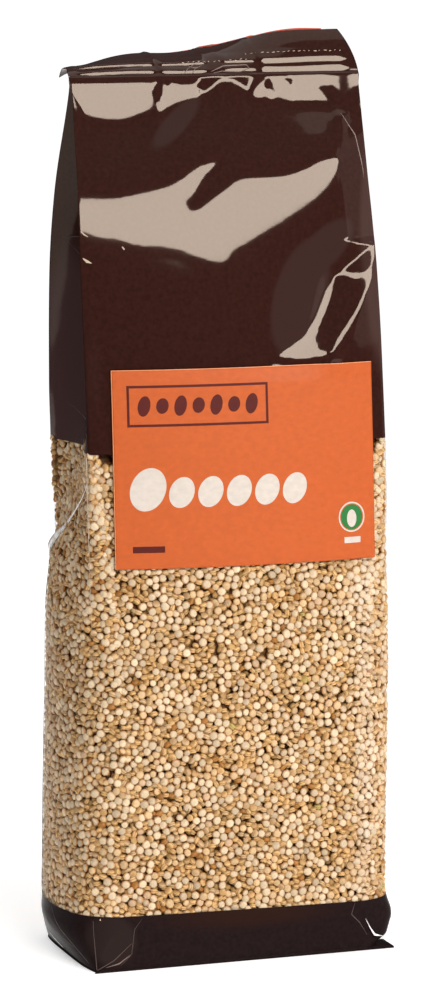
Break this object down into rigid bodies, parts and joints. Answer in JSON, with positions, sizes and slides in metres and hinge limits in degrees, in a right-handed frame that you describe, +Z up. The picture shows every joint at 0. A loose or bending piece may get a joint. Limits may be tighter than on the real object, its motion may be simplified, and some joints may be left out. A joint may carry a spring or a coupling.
{
  "type": "bag of quinoa",
  "caption": "Standing side-gusset bag of quinoa in glossy dark printed film, with a clear window onto the grains, a ribbed top seal and a paper label.",
  "frame": {"origin": "on the floor under the middle of the bag's box", "axes": "+Z up from the base to the top seal, the front panel with the label faces -Y, +X to the right of the front"},
  "size_m": [0.1006, 0.0606, 0.2641],
  "materials": {
    "printed_film": "glossy dark brown film, clear over the grain",
    "label_paper": "smooth orange paper",
    "strip_paper": "smooth orange paper"
  },
  "bodies": {
    "root": {"bag": "printed_film", "front_label": "label_paper", "closure_strip": "strip_paper"}
  },
  "joints": []
}
